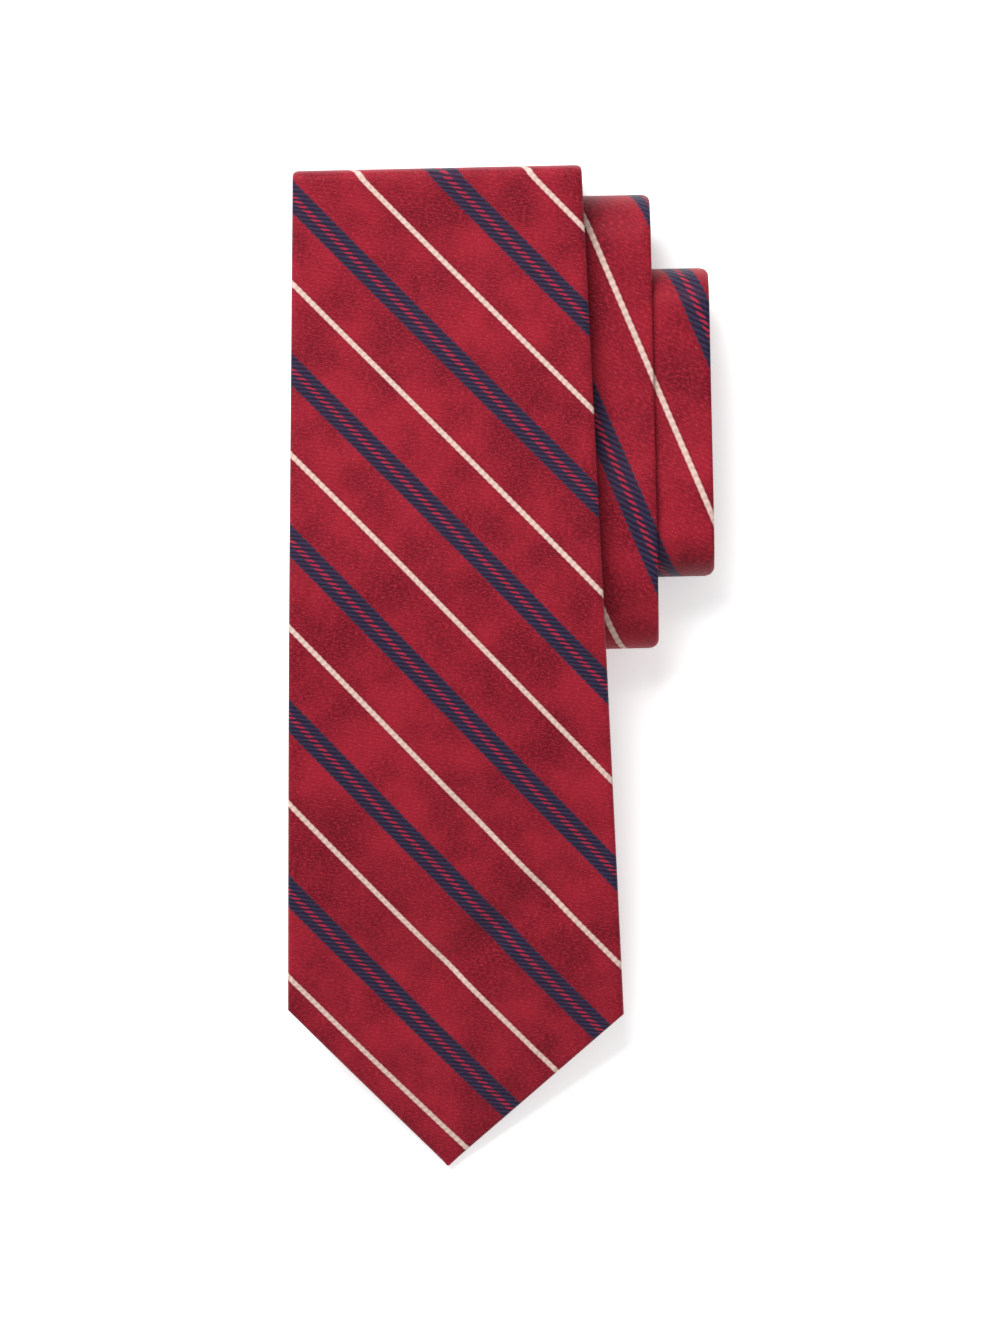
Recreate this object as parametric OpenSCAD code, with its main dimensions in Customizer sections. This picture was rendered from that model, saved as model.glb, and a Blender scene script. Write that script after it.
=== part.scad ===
// Silk necktie, rolled up from its tail into a flat roll, with the front blade lying over the top.
// +Y runs from the blade's tip towards the fold at the top of the roll, +Z is up and
// the origin is in the underside of the roll. The silk's right side faces outwards everywhere.

/* [Tie] */
// Length along the cloth from the blade's tip to the tail's tip
tie_length = 1473; // [1250:1:1800]
// Thickness of the made-up tie in the roll
strip_t = 1.25; // [1:0.05:2]
// Thickness of the blade, which also holds the tipping
blade_t = 2.0; // [1.6:0.1:2.6]
// Thickness of the silk
silk_t = 0.25; // [0.2:0.05:0.35]

/* [Widths] */
// Across the blade at the corners of its point
blade_w = 83.5; // [60:0.5:100]
// At the fold over the top of the roll
top_fold_w = 71.2; // [50:0.1:85]
// At the lower end of the first loop
loop_1_w = 64; // [45:0.5:78]
// At the lower end of the second loop
loop_2_w = 55; // [42:0.5:66]
// At the neck, the narrowest stretch
neck_w = 38; // [30:0.5:46]
// Across the tail at the corners of its point
tail_w = 44; // [35:0.5:55]

/* [Points and backs] */
// Length of the blade's point on its left side
point_left = 41.5; // [30:0.5:50]
// Length of the blade's point on its right side
point_right = 38.6; // [30:0.5:50]
// Distance by which the blade's tip lies left of its centre line
tip_shift = 2.8; // [0:0.1:6]
// Length of the tail's point
tail_point = 22; // [15:0.5:28]
// Silk turned in along the edges of the points
hem = 7; // [5:0.5:9]
// From the blade's tip to where its two back edges meet
blade_open = 88; // [75:1:110]
// From the tail's tip to where its two back edges meet
tail_open = 52; // [45:1:60]

/* [Roll] */
// From the blade's tip back to the top fold, measured flat
blade_reach = 246.3; // [210:0.5:300]
// From the top fold to the lower end of the first loop
loop_1_span = 117.8; // [95:0.5:140]
// From the top fold back to the top of the first loop
loop_1_inset = 6.5; // [4:0.5:10]
// From the top of the first loop to the top of the second
loop_2_inset = 18.5; // [14:0.5:24]
// From the lower end of the first loop to that of the second
loop_2_lift = 17.6; // [14:0.5:24]
// Extra room between the folds of two inner turns
fold_slack = 0.3; // [0.2:0.05:0.8]
// Free room between two layers that lie on each other
layer_gap = 0.35; // [0.3:0.05:0.6]
// Free room under the first loop
loop_gap = 0.6; // [0.4:0.1:5]
// Free room under the blade, for its keeper loop
blade_gap = 4.4; // [1.1:0.1:6]
// How far the top fold stands out past the straight layers
top_fold_depth = 4; // [3:0.5:10]
// Length of the first loop's lower bend, in half heights of the roll there
loop_1_lower_bend = 2; // [1:0.1:2.2]
// Length of the first loop's upper bend, in half heights of the roll there
loop_1_upper_bend = 1.2; // [0.8:0.1:1.5]
// First loop's right edge, from the blade's centre line
loop_1_edge = 52.3; // [45:0.1:60]
// Second loop's right edge, from the blade's centre line
loop_2_edge = 66.4; // [58:0.1:76]
// Where the blade starts to sink to the table, from the top fold
drape_start = 100; // [80:1:115]
// Height of the blade's tip above the table
tip_height = 1.3; // [1.1:0.1:4]

/* [Keeper loop and labels] */
// Distance of the keeper loop from the blade's tip
keeper_place = 186; // [150:1:200]
// Length of the keeper loop across the blade
keeper_l = 48; // [36:1:54]
// Width of the keeper loop along the blade
keeper_w = 13; // [9:0.5:18]
// Thickness of the keeper loop
keeper_t = 0.5; // [0.3:0.05:0.6]
// Length of the blank name label across the blade
name_label_l = 42; // [25:1:50]
// Width of the blank name label along the blade
name_label_w = 18; // [10:0.5:22]
// Length of the blank care label
care_label_l = 26; // [15:0.5:30]
// Width of the blank care label
care_label_w = 16; // [10:0.5:20]

/* [Hidden] */

silk = "firebrick";
canvas = "ivory";
lining = "maroon";
thread = "indianred";

// Clearances
ply = 0.05;          // between the silk and what it wraps
joint_gap = 0.3;     // between pieces that move apart
slit = 0.9;          // between the two back edges
thread_w = 0.5;
thread_t = 0.25;
lining_t = 0.15;
stitch_l = 1.5;
stitch_in = 1.5;       // from the hem's edge to the stitches beside it
tack_l = 9;
tack_w = 1.6;

// The roll's upper and lower layers. Layer 0 is the blade, odd layers lie below and
// even layers above, and each is joined to the next by a fold.
pitch = strip_t + layer_gap;
inner_step = pitch + fold_slack;
top_y = 60;
z_first = strip_t / 2;

function lower_count(last) = floor((last + 1) / 2);
function layer_z(k, last) =
  k % 2 == 1 ? z_first + pitch * (k - 1) / 2 :
  k >= 4 ? z_first + pitch * (lower_count(last) + (2 * floor(last / 2) - k) / 2) :
  k == 2 ? layer_z(4, last) + strip_t + loop_gap :
  layer_z(2, last) + strip_t / 2 + blade_gap + blade_t / 2;
function fold_y(j) =
  j == 0 ? top_y :
  j == 1 ? top_y - loop_1_span :
  j == 2 ? top_y - loop_1_inset :
  j == 3 ? fold_y(1) + loop_2_lift :
  j == 4 ? fold_y(2) - loop_2_inset :
  fold_y(j - 2) - fold_side(j) * inner_step;
function fold_side(j) = j % 2 == 0 ? 1 : -1;
function fold_h(j, last) = abs(layer_z(j, last) - layer_z(j + 1, last)) / 2;
function fold_depth(j, last) =
  j == 0 ? top_fold_depth :
  (j == 1 ? loop_1_lower_bend : j == 2 ? loop_1_upper_bend : 1) * fold_h(j, last);
// 2 is an ellipse, and more is blunter
function fold_bluntness(j) = j == 0 ? 6 : 2;
function fold_steps(j) = j < 4 ? 10 : 8;

function power(v, e) = sign(v) * pow(abs(v), e);
function fold_points(j, last) =
  let (h = fold_h(j, last), d = fold_depth(j, last), e = 2 / fold_bluntness(j),
       zc = (layer_z(j, last) + layer_z(j + 1, last)) / 2,
       yc = fold_y(j) - fold_side(j) * d, up = layer_z(j, last) > zc ? 1 : -1,
       steps = fold_steps(j))
  [for (i = [0:steps]) let (a = 180 * i / steps)
    [yc + fold_side(j) * d * power(sin(a), e), zc + up * h * power(cos(a), e)]];

// The blade lies flat over the roll and then sinks in an even curve to its tip
tip_y = top_y - blade_reach;
sink_y = top_y - drape_start;
function blade_z(y, last) =
  let (top = layer_z(0, last), share = max(0, sink_y - y) / (sink_y - tip_y))
  top - (top - tip_height) * pow(share, 1.5);
blade_rows = concat([0, 0.5, 4], [for (i = [1:25]) 10 * i]);
function blade_points(last) =
  let (end = top_y - top_fold_depth - tip_y)
  [for (d = blade_rows) if (d < end - 4) [tip_y + d, blade_z(tip_y + d, last)]];

// Every layer after the blade is straight, so its points are its folds' ends and its middle.
// The two layers that shift sideways have more.
function middle_points(a, b, n) = [for (i = [1:n - 1]) a + (b - a) * i / n];
function layer_middle(k, last) =
  let (before = fold_points(k - 1, last), after = fold_points(k, last))
  middle_points(before[len(before) - 1], after[0], k == 1 || k == 3 ? 8 : 2);
function route(last) = [
  each blade_points(last),
  each fold_points(0, last),
  for (k = [1:last]) each concat(layer_middle(k, last), fold_points(k, last))];

function lengths(p) =
  [for (i = 0, s = 0; i < len(p); s = s + (i + 1 < len(p) ? norm(p[i + 1] - p[i]) : 0), i = i + 1) s];
function total(last) = let (s = lengths(route(last))) s[len(s) - 1];
// Turns are added until the whole tie is on the roll
function turns_for(last) = total(last) - 12 >= tie_length ? last : turns_for(last + 1);
last_layer = turns_for(6);

path = route(last_layer);
path_s = lengths(path);
function fold_start(j) =
  len(blade_points(last_layer)) +
  (j == 0 ? 0 : sum([for (k = [0:j - 1]) fold_steps(k) + 1 + len(layer_middle(k + 1, last_layer))]));
function sum(v, i = 0) = i < len(v) ? v[i] + sum(v, i + 1) : 0;
fold_in = [for (j = [0:last_layer]) path_s[fold_start(j)]];
fold_out = [for (j = [0:last_layer]) path_s[fold_start(j) + fold_steps(j)]];

// Place on the path: [y, z], and the way the path runs there
function find(s, lo, hi) =
  hi - lo <= 1 ? lo : let (m = floor((lo + hi) / 2)) path_s[m] <= s ? find(s, m, hi) : find(s, lo, m);
function unit(v) = v / norm(v);
function leg(i) = unit(path[min(i, len(path) - 2) + 1] - path[min(i, len(path) - 2)]);
function at(s) =
  let (i = find(s, 0, len(path) - 1), part = (s - path_s[i]) / (path_s[i + 1] - path_s[i]))
  path[i] + part * (path[i + 1] - path[i]);
function way(s) =
  let (i = find(s, 0, len(path) - 1))
  s - path_s[i] < 0.01 && i > 0 ? unit(leg(i - 1) + leg(i)) :
  path_s[i + 1] - s < 0.01 ? unit(leg(i) + leg(i + 1)) : leg(i);

// Width of the tie at a distance s from the blade's tip
neck_from = fold_out[5];
neck_to = tie_length - 330;
width_table = [
  [point_right, blade_w], [fold_in[0], top_fold_w], [fold_out[1], loop_1_w],
  [fold_out[3], loop_2_w], [neck_from + 60, neck_w], [neck_to, neck_w],
  [tie_length - tail_point, tail_w]];
function width(s) = lookup(s, width_table);

// Sideways place: the loops' right edges stay in line, and the inner turns' middles do
function smooth(v) = let (c = min(1, max(0, v))) c * c * (3 - 2 * c);
function blend(a, b, v) = a + (b - a) * smooth(v);
inner_middle = loop_2_edge - width(fold_out[3]) / 2;
function middle(s) =
  s < fold_out[0] ? 0 :
  s < fold_in[1] ? blend(0, loop_1_edge - width(fold_in[1]) / 2, (s - fold_out[0]) / (fold_in[1] - fold_out[0])) :
  s < fold_out[2] ? loop_1_edge - width(s) / 2 :
  s < fold_in[3] ? blend(loop_1_edge - width(fold_out[2]) / 2, loop_2_edge - width(fold_in[3]) / 2,
                         (s - fold_out[2]) / (fold_in[3] - fold_out[2])) :
  s < fold_out[4] ? loop_2_edge - width(s) / 2 :
  loop_2_edge - width(fold_out[4]) / 2;

// Left and right edges, with the two points cut in
tip_half = 0.4;
function left_edge(s) =
  s < point_left ? -tip_shift - tip_half + (tip_shift + tip_half - width(point_left) / 2) * s / point_left :
  s > tie_length - tail_point ? middle(s) - tail_half(s) :
  middle(s) - width(s) / 2;
function right_edge(s) =
  s < point_right ? -tip_shift + tip_half + (tip_shift - tip_half + width(point_right) / 2) * s / point_right :
  s > tie_length - tail_point ? middle(s) + tail_half(s) :
  middle(s) + width(s) / 2;
function tail_half(s) =
  tip_half + (width(tie_length - tail_point) / 2 - tip_half) * (tie_length - s) / tail_point;

function thickness(s) =
  s <= fold_in[0] ? blade_t : s >= fold_out[0] ? strip_t :
  blade_t + (strip_t - blade_t) * (s - fold_in[0]) / (fold_out[0] - fold_in[0]);

// The back is open over each point: the back edges run from the corners to where they meet
function back_gap(s) =
  let (from_end = min(s - point_left, tie_length - tail_point - s),
       run = s < tie_length / 2 ? blade_open - point_left : tail_open - tail_point,
       full = right_edge(s) - left_edge(s) - 2 * hem)
  max(slit, from_end < 0 ? full : full * max(0, 1 - from_end / run));

// Rows of a strip: the path's own points between two distances, with both ends.
// The points' corners have rows of their own.
function with_row(rows, s) =
  concat([for (r = rows) if (r < s - 0.2) r], [s], [for (r = rows) if (r > s + 0.2) r]);
row_s = with_row(with_row(with_row(path_s, point_right), point_left), tie_length - tail_point);
function rows(from, to) =
  concat([from], [for (s = row_s) if (s > from + 0.2 && s < to - 0.2) s], [to]);

// A strip whose cross-section is given for every row as points [x, height off the middle].
// Its two ends are closed by the faces in caps, which are four-sided.
whole_cap = [[0, 1, 2, 3]];
wrapped_cap = [[0, 1, 10, 11], [1, 2, 9, 10], [2, 3, 8, 9], [3, 4, 7, 8], [4, 5, 6, 7]];
function backwards(face) = [for (i = [len(face) - 1:-1:0]) face[i]];
module strip(ss, sections, caps = whole_cap) {
  n = len(sections[0]);
  count = len(ss);
  points = [for (i = [0:count - 1])
    let (p = at(ss[i]), w = way(ss[i]))
    for (q = sections[i]) [q[0], p[0] - w[1] * q[1], p[1] + w[0] * q[1]]];
  sides = [for (i = [0:count - 2], j = [0:n - 1])
    let (a = i * n + j, b = i * n + (j + 1) % n)
    each [[a, b, b + n], [a, b + n, a + n]]];
  first = [for (face = caps) backwards(face)];
  last = [for (face = caps) [for (j = face) (count - 1) * n + j]];
  polyhedron(points = points, faces = concat(sides, first, last), convexity = 8);
}

function box_section(l, r, low, high) = [[l, low], [r, low], [r, high], [l, high]];

// Silk wrapped round the edges to the back, where its two edges leave the back gap open
function shell_section(s) =
  let (l = left_edge(s), r = right_edge(s), h = thickness(s) / 2, e = min(silk_t, (r - l) / 4),
       m = (l + r) / 2, g = min(back_gap(s), r - l - 3 * e) / 2)
  [[m + g, -h], [r, -h], [r, h], [l, h], [l, -h], [m - g, -h],
   [m - g, -h + silk_t], [l + e, -h + silk_t], [l + e, h - silk_t],
   [r - e, h - silk_t], [r - e, -h + silk_t], [m + g, -h + silk_t]];
module shell(from, to) {
  ss = rows(from, to);
  color(silk) strip(ss, [for (s = ss) shell_section(s)], wrapped_cap);
}

// Flat layers inside the silk, between heights given from its inner back face
inside = silk_t + ply;
module inner_layer(from, to, low, high, shy) {
  ss = rows(from, to);
  strip(ss, [for (s = ss) let (floor_z = -thickness(s) / 2 + silk_t, roof_z = thickness(s) / 2 - silk_t)
    box_section(left_edge(s) + shy, right_edge(s) - shy, floor_z + low,
                high < 0 ? roof_z + high : floor_z + high)]);
}
module interlining(from, to, low = ply) {
  color(canvas) inner_layer(from, to, low, -ply, inside + 0.4);
}

// One thread lying in the gap between the back edges
module slip_stitch(from, to) {
  ss = rows(from, to);
  color(thread) strip(ss, [for (s = ss) let (h = thickness(s) / 2)
    box_section(middle(s) - thread_w / 2, middle(s) + thread_w / 2, -h + 0.02, -h + thread_t)]);
}

// A seam that closes the narrow gap between two panels of silk
seam_l = 0.4;
module piecing_seam(s) {
  ss = rows(s - seam_l / 2, s + seam_l / 2);
  color(thread) strip(ss, [for (q = ss) shell_section(q)], wrapped_cap);
}

// A flat piece on the back: it lies square across the tie, off the silk by a distance
module back_patch(from, to, across, off, t) {
  ss = rows(from, to);
  strip(ss, [for (s = ss) let (h = thickness(s) / 2)
    box_section(middle(s) - across / 2, middle(s) + across / 2, -h - off - t, -h - off)]);
}

// Stitches one after another along both edges of an open point, clear of its hem
module point_stitches(tip, towards, reach, count) {
  for (side = [-1, 1], i = [1:count])
    let (s = tip + towards * (6 + reach * i / count), h = thickness(s) / 2,
         m = (left_edge(s) + right_edge(s)) / 2, x = m + side * (back_gap(s) / 2 - stitch_in), p = at(s), w = way(s),
         up = -h + silk_t - thread_t)
      translate([x, p[0] - w[1] * up, p[1] + w[0] * up])
        rotate([atan2(w[1], w[0]), 0, 0])
          translate([-thread_w / 2, -stitch_l / 2, -thread_t / 2]) cube([thread_w, stitch_l, thread_t]);
}

// Heights of what lies inside the open points, from the silk's inner back face
tipping_low = ply;
tipping_high = tipping_low + lining_t;

blade_end = fold_in[0] - joint_gap / 2;
blade_neck = fold_out[0] + 0.55 * (fold_in[1] - fold_out[0]);
link_from = fold_out[2];
link_to = fold_in[3];
neck_tail = fold_out[8] + 20;
lining_join = fold_out[7] + 25;

module blade_shell() shell(0, blade_end);
module blade_interlining() interlining(4, blade_end, tipping_high + ply);
module blade_tipping() color(lining) inner_layer(3, blade_open + 12, tipping_low, tipping_high, inside + 1);
module blade_tipping_stitch() color(thread) point_stitches(0, 1, blade_open - 22, 16);
module blade_slip_stitch() slip_stitch(blade_open + 2, blade_end);
module blade_bar_tack() color(thread) back_patch(blade_open, blade_open + tack_w, tack_l, 0, thread_t);

// The keeper loop stands off the back between its two tacked ends
keeper_lift = 0.25;
keeper_end = 3;
module keeper_loop() {
  color(silk) {
    from = keeper_place - keeper_w / 2;
    to = keeper_place + keeper_w / 2;
    back_patch(from, to, keeper_l, keeper_lift, keeper_t);
    for (side = [-1, 1]) side_patch(from, to, side * (keeper_l - keeper_end) / 2, keeper_end, 0, keeper_lift);
  }
}
module side_patch(from, to, x, across, off, t) translate([x, 0, 0]) back_patch(from, to, across, off, t);
module keeper_tacks() {
  color(thread) for (side = [-1, 1])
    side_patch(keeper_place - keeper_w / 2 + 1, keeper_place + keeper_w / 2 - 1,
               side * (keeper_l / 2 - 1), thread_w, keeper_lift + keeper_t, thread_t / 2);
}
label_from = keeper_place + keeper_w / 2 + 5;
label_t = 0.3;
module name_label() color("black") back_patch(label_from, label_from + name_label_w, name_label_l, 0, label_t);
module label_stitch() {
  color(thread) for (side = [-1, 1])
    side_patch(label_from + 1, label_from + name_label_w - 1, side * (name_label_l / 2 - 1), thread_w,
               label_t, thread_t / 2);
}

module top_fold_shell() shell(fold_in[0] + joint_gap / 2, fold_out[0]);
module top_fold_interlining() interlining(fold_in[0] + joint_gap / 2, fold_out[0]);
module top_fold_slip_stitch() slip_stitch(fold_in[0] + joint_gap / 2, fold_out[0]);

module under_blade_shell() shell(fold_out[0], blade_neck - seam_l / 2);
module blade_neck_seam() piecing_seam(blade_neck);
module outer_neck_shell() shell(blade_neck + seam_l / 2, link_from);
module outer_interlining() interlining(fold_out[0], link_from);
module outer_slip_stitch() slip_stitch(fold_out[0], link_from);

module link_neck_shell() shell(link_from, link_to - joint_gap);
module link_interlining() interlining(link_from, link_to - joint_gap);
module link_slip_stitch() slip_stitch(link_from, link_to - joint_gap);

module inner_neck_shell() shell(link_to, neck_tail - seam_l / 2);
module neck_tail_seam() piecing_seam(neck_tail);
module tail_shell() shell(neck_tail + seam_l / 2, tie_length);
lap = 0.3;
module inner_interlining() interlining(link_to, lining_join - lap);
module interlining_basting() color(thread) inner_layer(lining_join - lap, lining_join + lap, ply, -ply, inside + 3);
module tail_interlining() interlining(lining_join + lap, tie_length - 4, tipping_high + ply);
module inner_slip_stitch() slip_stitch(link_to, tie_length - tail_open - 2);
module tail_tipping() {
  color(lining) inner_layer(tie_length - tail_open - 8, tie_length - 3, tipping_low, tipping_high, inside + 1);
}
module tail_tipping_stitch() color(thread) point_stitches(tie_length, -1, tail_point + 3, 6);
module tail_bar_tack() {
  color(thread) back_patch(tie_length - tail_open - tack_w, tie_length - tail_open, tack_l * 0.7, 0, thread_t);
}
care_label_t = 0.15;
module care_label() {
  color("white") back_patch(tie_length - tail_open - tack_w - 2 - care_label_w,
                            tie_length - tail_open - tack_w - 2, care_label_l, 0.1, care_label_t);
}
// A loop of spare thread at the tail end of the seam lets the seam give when the tie is pulled
slack_w = 5;
module slack_thread() {
  s = tie_length - tail_open + 14;
  p = at(s + slack_w);
  w = way(s + slack_w);
  up = -thickness(s) / 2 + silk_t - thread_t;
  color(thread) translate([middle(s), p[0] - w[1] * up, p[1] + w[0] * up])
    rotate([atan2(w[1], w[0]), 0, 0])
      rotate_extrude() translate([slack_w / 2, 0]) square([thread_w / 2, thread_t / 2], center = true);
}

blade_shell();
blade_interlining();
blade_tipping();
blade_tipping_stitch();
blade_slip_stitch();
blade_bar_tack();
keeper_loop();
keeper_tacks();
name_label();
label_stitch();
top_fold_shell();
top_fold_interlining();
top_fold_slip_stitch();
under_blade_shell();
blade_neck_seam();
outer_neck_shell();
outer_interlining();
outer_slip_stitch();
link_neck_shell();
link_interlining();
link_slip_stitch();
inner_neck_shell();
neck_tail_seam();
tail_shell();
inner_interlining();
interlining_basting();
tail_interlining();
inner_slip_stitch();
tail_tipping();
tail_tipping_stitch();
tail_bar_tack();
care_label();
slack_thread();
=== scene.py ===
import bpy
import bmesh
from bisect import bisect_right
from math import atan, ceil, copysign, cos, exp, hypot, pi, radians, sin
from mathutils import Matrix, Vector, noise


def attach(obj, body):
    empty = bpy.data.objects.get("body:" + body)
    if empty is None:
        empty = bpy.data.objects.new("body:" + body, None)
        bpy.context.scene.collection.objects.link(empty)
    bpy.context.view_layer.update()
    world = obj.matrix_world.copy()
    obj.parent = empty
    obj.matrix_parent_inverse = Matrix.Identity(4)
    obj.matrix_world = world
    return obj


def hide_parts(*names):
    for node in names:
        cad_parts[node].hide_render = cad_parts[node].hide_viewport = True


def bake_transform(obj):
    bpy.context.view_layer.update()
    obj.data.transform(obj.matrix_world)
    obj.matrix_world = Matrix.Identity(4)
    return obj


# A rolled silk necktie. Lengths are in millimetres and become metres when a point is placed.
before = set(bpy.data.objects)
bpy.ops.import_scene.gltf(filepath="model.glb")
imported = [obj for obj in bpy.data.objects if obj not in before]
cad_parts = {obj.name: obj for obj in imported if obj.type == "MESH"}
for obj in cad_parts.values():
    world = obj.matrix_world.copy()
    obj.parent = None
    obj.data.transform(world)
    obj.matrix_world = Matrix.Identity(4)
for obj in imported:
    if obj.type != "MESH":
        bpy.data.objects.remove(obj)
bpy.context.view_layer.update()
mm = 0.001
print("frame loaded")

# Camera, lamps and table
shot = {"over": (12.83, -62.31), "height": 1600, "lens": 172.5, "turn": -1.235}
eye = bpy.data.cameras.new("camera")
eye.lens = shot["lens"]
eye.sensor_width = 36
camera = bpy.data.objects.new("camera", eye)
camera.location = (shot["over"][0] * mm, shot["over"][1] * mm, shot["height"] * mm)
camera.rotation_euler = (0, 0, radians(shot["turn"]))
bpy.context.scene.collection.objects.link(camera)
bpy.context.scene.camera = camera
bpy.context.scene.view_settings.view_transform = "Standard"

studio = {
    "sky": 0.5,
    "lamps": [
        # place, size, watts
        {"name": "softbox", "at": (-0.6, 1.2, 1.4), "size": 1.2, "watts": 56},
        {"name": "fill", "at": (0.2, -1.3, 1.3), "size": 1.0, "watts": 5},
    ],
    "floorSize": 6,
    "floorShade": 0.88,
    "floorGlow": 0.38,     # the table is lit from below as well
}


def addLamp(name, at, size, watts):
    data = bpy.data.lights.new(name, "AREA")
    data.size = size
    data.energy = watts
    lamp = bpy.data.objects.new(name, data)
    lamp.location = at
    lamp.rotation_euler = (-Vector(at)).to_track_quat("-Z", "Y").to_euler()
    bpy.context.scene.collection.objects.link(lamp)


for lamp in studio["lamps"]:
    addLamp(**lamp)
sky = bpy.data.worlds.new("studio")
sky.use_nodes = True
sky.node_tree.nodes["Background"].inputs["Color"].default_value = (1, 1, 1, 1)
sky.node_tree.nodes["Background"].inputs["Strength"].default_value = studio["sky"]
bpy.context.scene.world = sky


def tint(red, green, blue):
    # screen values from 0 to 255 as the linear colour that shaders take
    def straight(v):
        v /= 255
        return v / 12.92 if v <= 0.04045 else ((v + 0.055) / 1.055) ** 2.4
    return (straight(red), straight(green), straight(blue), 1)


class Wire:
    # an output socket that takes part in sums
    def __init__(self, look, socket):
        self.look = look
        self.socket = socket

    def __add__(self, other):
        return self.look.maths("ADD", self, other)

    def __sub__(self, other):
        return self.look.maths("SUBTRACT", self, other)

    def __rsub__(self, other):
        return self.look.maths("SUBTRACT", other, self)

    def __mul__(self, other):
        return self.look.maths("MULTIPLY", self, other)

    def __truediv__(self, other):
        return self.look.maths("DIVIDE", self, other)

    __radd__ = __add__
    __rmul__ = __mul__


class Look:
    def __init__(self, name):
        self.material = bpy.data.materials.new(name)
        self.material.use_nodes = True
        self.tree = self.material.node_tree
        self.tree.nodes.clear()

    def node(self, kind, settings, sockets):
        made = self.tree.nodes.new(kind)
        for name, value in settings.items():
            setattr(made, name, value)
        for name, value in sockets.items():
            if isinstance(value, Wire):
                self.tree.links.new(value.socket, made.inputs[name])
            else:
                made.inputs[name].default_value = value
        return made

    def wire(self, kind, settings, sockets, output=0):
        return Wire(self, self.node(kind, settings, sockets).outputs[output])

    def maths(self, operation, *values):
        return self.wire("ShaderNodeMath", {"operation": operation}, dict(enumerate(values)))

    def mix(self, share, first, second, how="MIX"):
        return self.wire("ShaderNodeMix", {"data_type": "RGBA", "blend_type": how},
                         {0: share, 6: first, 7: second}, 2)

    def ease(self, value, low, high):
        return self.wire("ShaderNodeMapRange", {"interpolation_type": "SMOOTHSTEP"},
                         {"Value": value, "From Min": low, "From Max": high})

    def vector(self, x, y, z=0.0):
        return self.wire("ShaderNodeCombineXYZ", {}, {"X": x, "Y": y, "Z": z})

    def grain(self, place, scale, detail=2.0):
        return self.wire("ShaderNodeTexNoise", {}, {"Vector": place, "Scale": scale, "Detail": detail}, "Fac")

    def cloth(self):
        # a piece's own cloth coordinates
        place = self.wire("ShaderNodeAttribute", {"attribute_name": "cloth"}, {}, "Vector")
        parts = self.node("ShaderNodeSeparateXYZ", {}, {"Vector": place})
        return [Wire(self, socket) for socket in parts.outputs]

    def waves(self, turns):
        return self.maths("COSINE", turns * (2 * pi)) * 0.5 + 0.5

    def finish(self, colour, roughness, height, deep, fixed):
        raised = {"Height": height, "Distance": deep * mm, "Strength": 1.0}
        bump = self.wire("ShaderNodeBump", {}, raised, "Normal")
        sockets = {"Base Color": colour, "Roughness": roughness, "Normal": bump}
        sockets.update(fixed)
        shader = self.wire("ShaderNodeBsdfPrincipled", {}, sockets)
        self.node("ShaderNodeOutputMaterial", {}, {"Surface": shader})
        return self.material


silkLook = {
    "pitch": 30.37,        # from one white stripe to the next
    "twillAngle": 39,      # between the twill lines and the stripes
    "twillPitch": 1.0,
    "whiteHalf": 0.62,
    "navyHalf": 2.85,
    "dashHalf": 0.6,
    "ground": (137, 27, 41),
    "groundDeep": (88, 12, 25),
    "groundLight": (166, 40, 54),
    # pale flecks along the twill: lighter weave floats, partly painted pinpoint highlights
    "fleckGlint": (192, 84, 84),
    "navyDeep": (19, 25, 41),
    "navyLight": (33, 48, 70),
    "navyPlum": (40, 38, 65),
    "dash": (160, 32, 56),
    "white": (212, 188, 179),
    "whiteDull": (174, 146, 134),
}


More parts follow.
